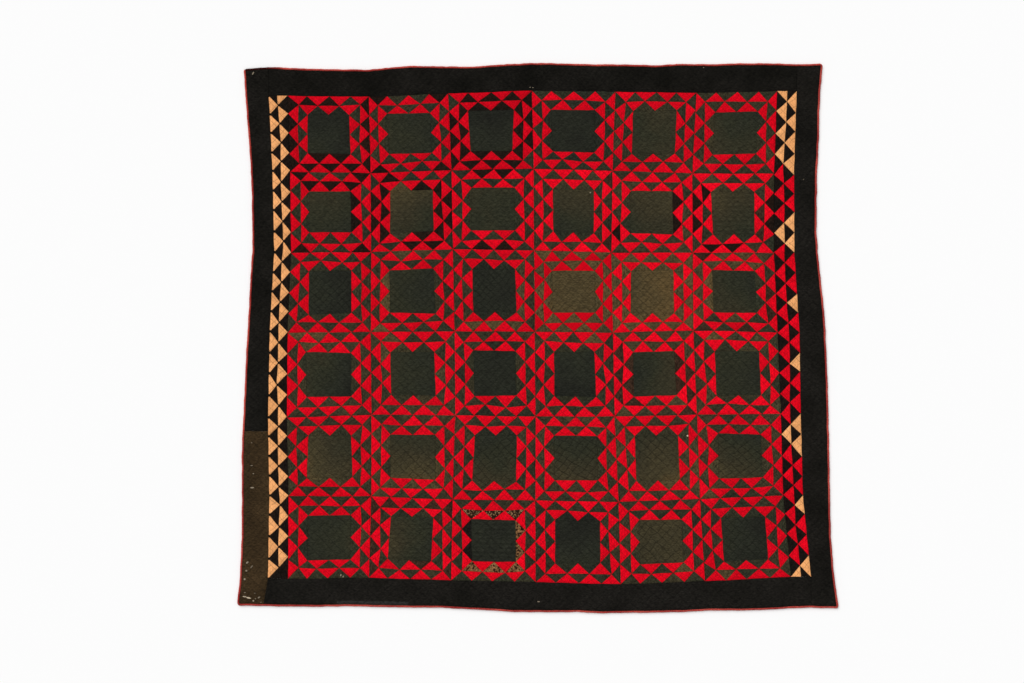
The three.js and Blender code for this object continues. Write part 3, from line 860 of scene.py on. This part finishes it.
def quilting_stitches():
    """Running stitches along the quilting lines: the thread, and the band round each line where
    shade is painted into its dip.
    """
    tree = bpy.data.node_groups.new("quilting_stitches", "ShaderNodeTree")
    for output in ("Thread", "Dip"):
        tree.interface.new_socket(output, in_out="OUTPUT", socket_type="NodeSocketFloat")
    on_lines = add(tree, "ShaderNodeUVMap", uv_map="quilting")
    split = add(tree, "ShaderNodeSeparateXYZ", {0: on_lines}).outputs
    threads, lines = [], []
    for line, run in (("X", "Y"), ("Y", "X")):
        away = add(tree, "ShaderNodeMath", {0: split[line], 1: 0.5}, operation="PINGPONG")
        beat = add(tree, "ShaderNodeMath", {0: split[run], 1: STITCHES_PER_DIAMOND, 2: 0.25},
                   operation="MULTIPLY_ADD")
        gap = add(tree, "ShaderNodeMath", {0: beat, 1: 0.5}, operation="PINGPONG")
        on_line = add(tree, "ShaderNodeMath", {0: away, 1: QUILTING_THREAD},
                      operation="LESS_THAN")
        in_stitch = add(tree, "ShaderNodeMath", {0: gap, 1: QUILTING_STITCH},
                        operation="LESS_THAN")
        threads.append(add(tree, "ShaderNodeMath", {0: on_line, 1: in_stitch},
                           operation="MULTIPLY"))
        lines.append(away)
    thread = add(tree, "ShaderNodeMath", {0: threads[0], 1: threads[1]}, operation="MAXIMUM")
    nearest = add(tree, "ShaderNodeMath", {0: lines[0], 1: lines[1]}, operation="MINIMUM")
    line_shade = add(tree, "ShaderNodeMapRange",
              {"Value": nearest, "From Max": QUILTING_SHADE, "To Min": 1.0, "To Max": 0.0},
              interpolation_type="SMOOTHSTEP")
    add(tree, "NodeGroupOutput", {"Thread": thread, "Dip": line_shade})
    return tree


STITCHING = quilting_stitches()


def grown(name, base, tree, values):
    """A plain mesh that a tree of nodes grows on a base mesh."""
    holder = placed(name, base)
    modifier = holder.modifiers.new(tree.name, "NODES")
    modifier.node_group = tree
    for socket in tree.interface.items_tree:
        if socket.in_out == "INPUT" and socket.name in values:
            modifier[socket.identifier] = values[socket.name]
    graph = bpy.context.evaluated_depsgraph_get()
    mesh = bpy.data.meshes.new_from_object(holder.evaluated_get(graph))
    bpy.data.objects.remove(holder)
    bpy.data.meshes.remove(base)
    mesh.name = name
    return placed(name, mesh)


def growing_tree(name, inputs):
    """An empty tree of geometry nodes with these named inputs, and what they give."""
    tree = bpy.data.node_groups.new(name, "GeometryNodeTree")
    tree.interface.new_socket("Base", in_out="INPUT", socket_type="NodeSocketGeometry")
    for word, kind in inputs.items():
        tree.interface.new_socket(word, in_out="INPUT", socket_type=f"NodeSocket{kind}")
    tree.interface.new_socket("Grown", in_out="OUTPUT", socket_type="NodeSocketGeometry")
    return tree, add(tree, "NodeGroupInput").outputs


def grow_as_mesh(tree, made, material):
    """Ends a growing tree: what it made, as a plain mesh of one material."""
    plain = add(tree, "GeometryNodeRealizeInstances", {"Geometry": made})
    dressed = add(tree, "GeometryNodeSetMaterial", {"Geometry": plain, "Material": material})
    add(tree, "NodeGroupOutput", {"Grown": dressed})
    return tree


def slanting_stitches():
    """Stitches at even steps along a seam: short bowed threads that lean over a fold."""
    tree, given = growing_tree("slanting_stitches", {
        "Step": "Float", "Lean": "Float", "Bite": "Float", "Rise": "Float", "Thread": "Float",
        "Seed": "Int", "Material": "Material"})
    seam = add(tree, "GeometryNodeMeshToCurve", {"Mesh": given["Base"]})
    spots = add(tree, "GeometryNodeResampleCurve", {"Curve": seam, "Length": given["Step"]},
                mode="LENGTH")
    end = add(tree, "ShaderNodeCombineXYZ",
              {"X": given["Lean"], "Y": given["Bite"], "Z": given["Rise"]})
    start = add(tree, "ShaderNodeVectorMath", {0: end, 1: (-1, -1, -1)}, operation="MULTIPLY")
    top = add(tree, "ShaderNodeCombineXYZ", {"Z": given["Rise"]})
    bow = add(tree, "GeometryNodeCurveQuadraticBezier",
              {"Resolution": 4, "Start": start, "Middle": top, "End": end})
    section = add(tree, "GeometryNodeCurvePrimitiveCircle",
                  {"Resolution": 5, "Radius": given["Thread"]}, mode="RADIUS")
    thread = add(tree, "GeometryNodeCurveToMesh",
                 {"Curve": bow, "Profile Curve": section, "Fill Caps": True})
    along = add(tree, "GeometryNodeInputTangent")
    ahead = add(tree, "FunctionNodeAlignRotationToVector", {"Vector": along}, axis="X",
                pivot_axis="Z")
    swing = add(tree, "FunctionNodeRandomValue",
                {"Min": (0, 0, -STITCH_SWING), "Max": (0, 0, STITCH_SWING),
                 "Seed": given["Seed"]}, data_type="FLOAT_VECTOR")
    turn = add(tree, "FunctionNodeEulerToRotation", {"Euler": swing})
    leant = add(tree, "FunctionNodeRotateRotation", {"Rotation": ahead, "Rotate By": turn},
                rotation_space="LOCAL")
    sewn = add(tree, "GeometryNodeInstanceOnPoints",
               {"Points": spots, "Instance": thread, "Rotation": leant})
    return grow_as_mesh(tree, sewn, given["Material"])


def batting_tufts():
    """Ragged pads on the points of a base, pressed down to the cloth beneath them."""
    tree, given = growing_tree("batting_tufts", {
        "Cloth": "Object", "Raggedness": "Float", "Fibre": "Float", "Material": "Material"})
    pad = add(tree, "GeometryNodeMeshIcoSphere", {"Radius": 1.0, "Subdivisions": 4})
    half_size = add(tree, "GeometryNodeInputNamedAttribute", {"Name": "half_size"},
                    data_type="FLOAT_VECTOR")
    turn = add(tree, "GeometryNodeInputNamedAttribute", {"Name": "turn"}, data_type="FLOAT")
    euler = add(tree, "ShaderNodeCombineXYZ", {"Z": turn})
    turned = add(tree, "FunctionNodeEulerToRotation", {"Euler": euler})
    pads = add(tree, "GeometryNodeInstanceOnPoints",
               {"Points": given["Base"], "Instance": pad, "Rotation": turned, "Scale": half_size})
    plain = add(tree, "GeometryNodeRealizeInstances", {"Geometry": pads})
    place = add(tree, "GeometryNodeInputPosition")
    fineness = add(tree, "ShaderNodeMath", {0: 1.0, 1: given["Fibre"]}, operation="DIVIDE")
    noise = add(tree, "ShaderNodeTexNoise",
                {"Vector": place, "Scale": fineness, "Detail": 3.0, "Roughness": 0.7})
    stray = add(tree, "ShaderNodeVectorMath", {0: noise.outputs["Color"], 1: (0.5, 0.5, 0.5)},
                operation="SUBTRACT")
    pull = add(tree, "ShaderNodeVectorMath", {0: stray, "Scale": given["Raggedness"]},
               operation="SCALE")
    ragged = add(tree, "GeometryNodeSetPosition", {"Geometry": plain, "Offset": pull})
    cloth = add(tree, "GeometryNodeObjectInfo", {"Object": given["Cloth"]})
    lifted = add(tree, "ShaderNodeVectorMath", {0: place, 1: (0, 0, 1)}, operation="ADD")
    below = add(tree, "GeometryNodeRaycast",
                {"Target Geometry": cloth.outputs["Geometry"], "Source Position": lifted,
                 "Ray Direction": (0, 0, -1), "Ray Length": 2.0})
    surface = add(tree, "ShaderNodeVectorMath",
                  {0: below.outputs["Hit Position"], 1: (0, 0, 1)}, operation="MULTIPLY")
    pressed = add(tree, "GeometryNodeSetPosition", {"Geometry": ragged, "Offset": surface})
    return grow_as_mesh(tree, pressed, given["Material"])


SLANTING_STITCHES = slanting_stitches()
BATTING_TUFTS = batting_tufts()


def empty_material(name):
    """A material with nothing in it yet, its tree, and the Object coordinates there."""
    material = bpy.data.materials.new(name)
    material.use_nodes = True
    tree = material.node_tree
    tree.nodes.clear()
    return material, tree, add(tree, "ShaderNodeTexCoord").outputs["Object"]


def fibrous(name, shade, fibre_mm, roughness, mark=None):
    """Twisted or loose fibres: fine streaks of a lighter and a darker shade, dulled by a mark."""
    material, tree, place = empty_material(name)
    fibre = add(tree, "ShaderNodeTexNoise",
                {"Vector": place, "Scale": per_metre(fibre_mm), "Detail": 3.0, "Roughness": 0.7,
                 "Distortion": 1.5})
    value = add(tree, "ShaderNodeMapRange",
                {"Value": fibre, "From Min": 0.3, "From Max": 0.7, "To Min": 0.7, "To Max": 1.15})
    if mark:
        dulled = add(tree, "ShaderNodeAttribute", attribute_name=mark).outputs["Fac"]
        value = add(tree, "ShaderNodeMath", {0: value, 1: dulled}, operation="MULTIPLY")
    colour = add(tree, "ShaderNodeHueSaturation", {"Color": linear(shade), "Value": value})
    bump = add(tree, "ShaderNodeBump", {"Height": fibre, "Strength": 0.6, "Distance": 0.3 * MM})
    surface = add(tree, "ShaderNodeBsdfPrincipled",
                  {"Base Color": colour, "Roughness": roughness, "Normal": bump,
                   "Specular IOR Level": 0.1})
    add(tree, "ShaderNodeOutputMaterial", {"Surface": surface})
    return material


# Waxed red-brown cotton thread, and the loose grey-white cotton filling of worn places
SEWING_THREAD = fibrous("waxed_sewing_thread", 0x4A1818, 0.8, 0.6)
COTTON_BATTING = fibrous("cotton_batting", 0xB8A890, 1.6, 1.0, "bare")


def faded_colour(tree, cloud, mark, shades, mottle):
    """Colour of a cloth, from its fresh to its faded shade, uneven in soft clouds."""
    cloudy = add(tree, "ShaderNodeMapRange",
                 {"Value": cloud, "From Min": 0.3, "From Max": 0.7, "To Min": -mottle,
                  "To Max": mottle}, clamp=False)
    faded = add(tree, "ShaderNodeMath", {0: cloudy, 1: mark["cloud"], 2: mark["fade"]},
                operation="MULTIPLY_ADD", use_clamp=True)
    colour = add(tree, "ShaderNodeValToRGB", {"Fac": faded})
    points = colour.color_ramp.elements
    while len(points) < len(shades):
        points.new(0.5)
    for number, shade in enumerate(shades):
        points[number].position = number / (len(shades) - 1)
        points[number].color = linear(shade)
    return colour


def leaf_print(tree, place, ground, print_hex, leaf_mm):
    """Small leaves printed on the ground colour of a cloth."""
    sprig = add(tree, "ShaderNodeTexVoronoi",
                {"Vector": place, "Scale": per_metre(1.5 * leaf_mm)}, feature="F1")
    leaf = add(tree, "ShaderNodeTexNoise", {"Vector": place, "Scale": per_metre(leaf_mm)})
    shape = add(tree, "ShaderNodeMath", {0: leaf, 1: sprig}, operation="SUBTRACT")
    printed = add(tree, "ShaderNodeMath", {0: shape, 1: 0.1}, operation="GREATER_THAN")
    return add(tree, "ShaderNodeMix",
               {"Factor": printed, "A": ground, "B": linear(print_hex)}, data_type="RGBA")


def slubs_and_nap(tree, place, mark):
    """Slubs and then threads of the nap, that lie across or down."""
    across, down = (add(tree, "ShaderNodeMapping", {"Vector": place, "Scale": scale})
                    for scale in ((0.3, 1, 1), (1, 0.3, 1)))
    laid = add(tree, "ShaderNodeMix", {"Factor": mark["grain"], "A": across, "B": down},
               data_type="VECTOR")
    return [add(tree, "ShaderNodeTexNoise",
                {"Vector": laid, "Scale": per_metre(size), "Detail": 2.0, "Roughness": 0.7})
            for size in (SLUB_SIZE, NAP_SIZE)]


def ribs_and_crimp(tree, place, mark):
    """Ribs where threads run down, drawn far enough apart to show, and crimp in some centres."""
    ribbed = add(tree, "ShaderNodeMapRange", {"Value": mark["grain"], "From Min": EVEN})
    raised = []
    for share, axis, apart, depth in ((ribbed, "X", RIB_SPACING, 0.1),
                                      (mark["crimp"], "Y", CRIMP_SPACING, 0.12)):
        ridges = add(tree, "ShaderNodeTexWave",
                     {"Vector": place, "Scale": wave_scale(apart), "Distortion": 2.0, "Detail": 2.0,
                      "Detail Scale": 0.4}, wave_type="BANDS", bands_direction=axis)
        signed = add(tree, "ShaderNodeMapRange",
                     {"Value": ridges.outputs["Fac"], "To Min": -depth, "To Max": depth})
        raised.append(add(tree, "ShaderNodeMath", {0: signed, 1: share}, operation="MULTIPLY"))
    return raised


def plain_weave(tree, place, thread_mm):
    """Threads that go one over and one under."""
    warp, weft = (add(tree, "ShaderNodeTexWave",
                      {"Vector": place, "Scale": wave_scale(thread_mm), "Distortion": 0.6,
                       "Detail": 1.0}, wave_type="BANDS", bands_direction=axis).outputs["Fac"]
                  for axis in ("X", "Y"))
    return add(tree, "ShaderNodeMath", {0: warp, 1: weft}, operation="MULTIPLY")


def woven(name, shades, thread_mm, quilting_hex=None, mottle=0.3, lint=0.3, line_shade=0.32, sheen=0.06,
          print_hex=None, leaf_mm=4):
    """A woven cloth, quilted with a thread of one colour and printed with leaves of another where
    these are given. Its shades run from fresh to faded; mottle is how far fading strays over a
    piece, lint how far its threads differ and the line shade how dark the painted shade along its
    quilting lines is. The marks on each face set fading, dye lot, the run of the threads, crimp and
    the pull of the quilting; fading and dye lot also carry painted shade on the borders and reds."""
    material, tree, place = empty_material(name)
    mark = {word: add(tree, "ShaderNodeAttribute", attribute_name=word).outputs["Fac"]
            for word in ("fade", "lot", "cloud", "pull", "grain", "crimp", "seam")}

    cloud = add(tree, "ShaderNodeTexNoise",
                {"Vector": place, "Scale": per_metre(CLOUD_SIZE), "Detail": 2.0, "Roughness": 0.5})
    colour = faded_colour(tree, cloud, mark, shades, mottle)
    if print_hex is not None:
        colour = leaf_print(tree, place, colour, print_hex, leaf_mm)
    slub, fleck = slubs_and_nap(tree, place, mark)
    ribs, crimp = ribs_and_crimp(tree, place, mark)

    # Threads are a little lighter or darker, which shows least where they lie across
    shows = add(tree, "ShaderNodeMapRange",
                {"Value": mark["grain"], "From Max": EVEN, "To Min": 1.0, "To Max": 1.4})
    tones = []
    for speck, share in ((slub, 0.6 * lint), (fleck, 1.4 * lint)):
        signed = add(tree, "ShaderNodeMapRange",
                     {"Value": speck, "From Min": 0.35, "From Max": 0.65, "To Min": -share,
                      "To Max": share})
        tones.append(add(tree, "ShaderNodeMath", {0: signed, 1: shows, 2: 1.0},
                         operation="MULTIPLY_ADD"))
    # Ribs and crimp tone the colour with their height: painted light on their ridges, painted shade
    # in their furrows
    for ridge in (ribs, crimp):
        tones.append(add(tree, "ShaderNodeMath", {0: ridge, 1: 1.0}, operation="ADD"))
    height = plain_weave(tree, place, thread_mm)
    for raised, share in ((slub, 1.2), (fleck, 0.6), (ribs, 3.0), (crimp, 3.0)):
        height = add(tree, "ShaderNodeMath", {0: raised, 1: share, 2: height},
                     operation="MULTIPLY_ADD")
    if quilting_hex is not None:
        # Quilting that pulls harder in some places than in others: painted shade along its lines,
        # and painted shade along the seams
        stitching = add(tree, "ShaderNodeGroup", node_tree=STITCHING).outputs
        tight = add(tree, "ShaderNodeMapRange",
                    {"Value": cloud, "From Min": 0.4, "From Max": 0.6, "To Min": 0.3,
                     "To Max": 1.3})
        drawn = add(tree, "ShaderNodeMath", {0: tight, 1: mark["pull"]}, operation="MULTIPLY")
        shadow = add(tree, "ShaderNodeMath", {0: stitching["Dip"], 1: drawn}, operation="MULTIPLY")
        tones.append(add(tree, "ShaderNodeMapRange",
                         {"Value": shadow, "To Min": 1.0, "To Max": 1 - line_shade}))
        tones.append(add(tree, "ShaderNodeMapRange",
                         {"Value": mark["seam"], "From Max": SEAM_SHADE, "To Min": 0.75,
                          "To Max": 1.0}))
        height = add(tree, "ShaderNodeMath", {0: stitching["Thread"], 1: -1.2, 2: height},
                     operation="MULTIPLY_ADD")
    value = mark["lot"]
    for tone in tones:
        value = add(tree, "ShaderNodeMath", {0: value, 1: tone}, operation="MULTIPLY")
    colour = add(tree, "ShaderNodeHueSaturation", {"Color": colour, "Value": value})
    if quilting_hex is not None:
        colour = add(tree, "ShaderNodeMix",
                     {"Factor": stitching["Thread"], "A": colour, "B": linear(quilting_hex)},
                     data_type="RGBA")
    bump = add(tree, "ShaderNodeBump", {"Height": height, "Strength": 0.45, "Distance": 0.5 * MM})
    rough = add(tree, "ShaderNodeMapRange", {"Value": fleck, "To Min": 0.84, "To Max": 1.0})
    surface = add(tree, "ShaderNodeBsdfPrincipled",
                  {"Base Color": colour, "Roughness": rough, "Normal": bump,
                   "Specular IOR Level": 0.04, "Sheen Weight": sheen, "Sheen Roughness": 0.6,
                   "Sheen Tint": linear(shades[-1])})
    add(tree, "ShaderNodeOutputMaterial", {"Surface": surface})
    return material


# Each cloth has its shades from fresh to faded, the spacing of its threads in millimetres and the
# colour of its quilting. Threads of about 0.7 mm are drawn at 1.4 or 1.8 mm, the finest that shows.
CLOTHS = {
    # Fulled red wool: even, strong madder red with a dry, slightly ribbed nap
    "r": woven("fulled_red_wool", [0xCC0416, 0xE4061F], 1.8, 0x7A0A16, mottle=0.4, lint=0.14,
               line_shade=0.16, sheen=0.04),
    # A second, duller dye of red in one block, smoother than the rest
    "d": woven("dull_red_wool", [0xBC0214, 0xD60319], 1.8, 0x7A0A16, mottle=0.4, lint=0.06,
               line_shade=0.1, sheen=0.0),
    # Bottle-green wool gone olive in the light: the mottling is uneven fading
    "g": woven("bottle_green_wool",
               [0x20211C, 0x272921, 0x2D2E22, 0x363224, 0x423B28, 0x57472C], 1.8, 0x121210,
               lint=0.27),
    # Black wool turned slightly rusty
    "k": woven("rusty_black_wool", [0x14100D, 0x181310, 0x281911], 1.8, 0x0C0A0A, mottle=0.1),
    # Brown-black wool scraps
    "b": woven("brown_black_wool", [0x2F2119, 0x3F2C20], 1.8, 0x120E0C),
    # Two printed calicos: small tan leaves on dark brown, and dark ones on tan
    "c": woven("dark_leaf_calico", [0x1E140E, 0x342216], 1.4, 0x120E0C, print_hex=0x8A6A4A),
    "y": woven("tan_leaf_calico", [0x6A4A30, 0x86623E], 1.4, 0x120E0C, print_hex=0x2C1A10,
               leaf_mm=7),
    # Plain tan cotton, crisp and pale
    "t": woven("tan_cotton", [0xE59F63, 0xF1AB6F], 1.4, 0x7A5A3C, mottle=0.4, lint=0.06,
               sheen=0.02),
    # Closely quilted black cotton of the borders and the underside
    "e": woven("black_border_cotton", [0x100F0C, 0x1D1B18], 1.4, 0x0A0A0A, mottle=0.4, lint=0.36),
    # Olive-brown cotton that finishes the left border, worn thin
    "p": woven("olive_patch_cotton", [0x2B2114, 0x453623], 1.4, 0x15120C, mottle=0.35),
    # Grey strip that mends the bottom border
    "s": woven("grey_mending_cotton", [0x222120, 0x2D2C2A], 1.4, 0x141416),
    # Brick-red cotton tape of the binding, rubbed unevenly paler
    "a": woven("brick_binding_tape", [0x96302C, 0xB64A40], 1.4, mottle=0.7, lint=0.2),
}
UNDERSIDE_CLOTH = "e"

for block_row in range(BLOCKS):
    for block_column in range(BLOCKS):
        pieced_block(block_row, block_column)
pieced_strip("strip_left", WEST, LEFT_OUTER, LEFT_INNER, LEFT_SLIP, lost_tips=True)
pieced_strip("strip_right", EAST, RIGHT_OUTER, RIGHT_INNER, RIGHT_SLIP)

bindings = {side: turned_binding(f"binding_{side}", out) for side, out in FACING.items()}
# Borders are painted darker at the top and left, where the light falls off
for side, out in FACING.items():
    quilted_border(f"border_{side}", out, "e", BORDER_SHADE[side], bindings[side])
quilted_border("border_left_patch", WEST, "p", USUAL_FADE, [])

# Pale matt floor
FLOOR_SIZE = 30
FLOOR_DROP = 0.4 * MM
floor_mesh = bpy.data.meshes.new("floor")
floor_mesh.from_pydata(
    [(x * FLOOR_SIZE / 2, y * FLOOR_SIZE / 2, -FLOOR_DROP)
     for x, y in ((-1, -1), (1, -1), (1, 1), (-1, 1))], [], [(0, 1, 2, 3)])
floor = placed("floor", floor_mesh)
floor_paint, floor_tree, _ = empty_material("matt_white_floor")
floor_surface = add(floor_tree, "ShaderNodeBsdfPrincipled",
                    {"Base Color": linear(0xFAFAFA), "Roughness": 1.0, "Specular IOR Level": 0.0})
add(floor_tree, "ShaderNodeOutputMaterial", {"Surface": floor_surface})
floor_mesh.materials.append(floor_paint)

# Even studio light: a white surround, and one broad lamp from the upper left for relief
SURROUND_LIGHT = 0.637
LAMP_LIGHT = 2.06
LAMP_BREADTH = math.radians(45)
LAMP_TILT = math.radians(-40)
world = bpy.data.worlds.new("white_surround")
world.use_nodes = True
surround = world.node_tree.nodes["Background"].inputs
surround["Color"].default_value = linear(0xFFFFFF)
surround["Strength"].default_value = SURROUND_LIGHT
bpy.context.scene.world = world
lamp_data = bpy.data.lights.new("broad_lamp", "SUN")
lamp_data.energy = LAMP_LIGHT
lamp_data.angle = LAMP_BREADTH
lamp = placed("broad_lamp", lamp_data)
lamp.rotation_euler = (LAMP_TILT, LAMP_TILT, 0)

# Camera straight above, with the head end of the quilt at the top of the picture
PICTURE_WIDTH = 3.514
PICTURE_MIDDLE = (-0.089, -0.0117)
LENS, SENSOR = 85, 36
camera_data = bpy.data.cameras.new("camera")
camera_data.lens = LENS
camera_data.sensor_width = SENSOR
camera = placed("camera", camera_data)
camera.location = (*PICTURE_MIDDLE, PICTURE_WIDTH * LENS / SENSOR)
bpy.context.scene.camera = camera
bpy.context.scene.view_settings.view_transform = "Standard"
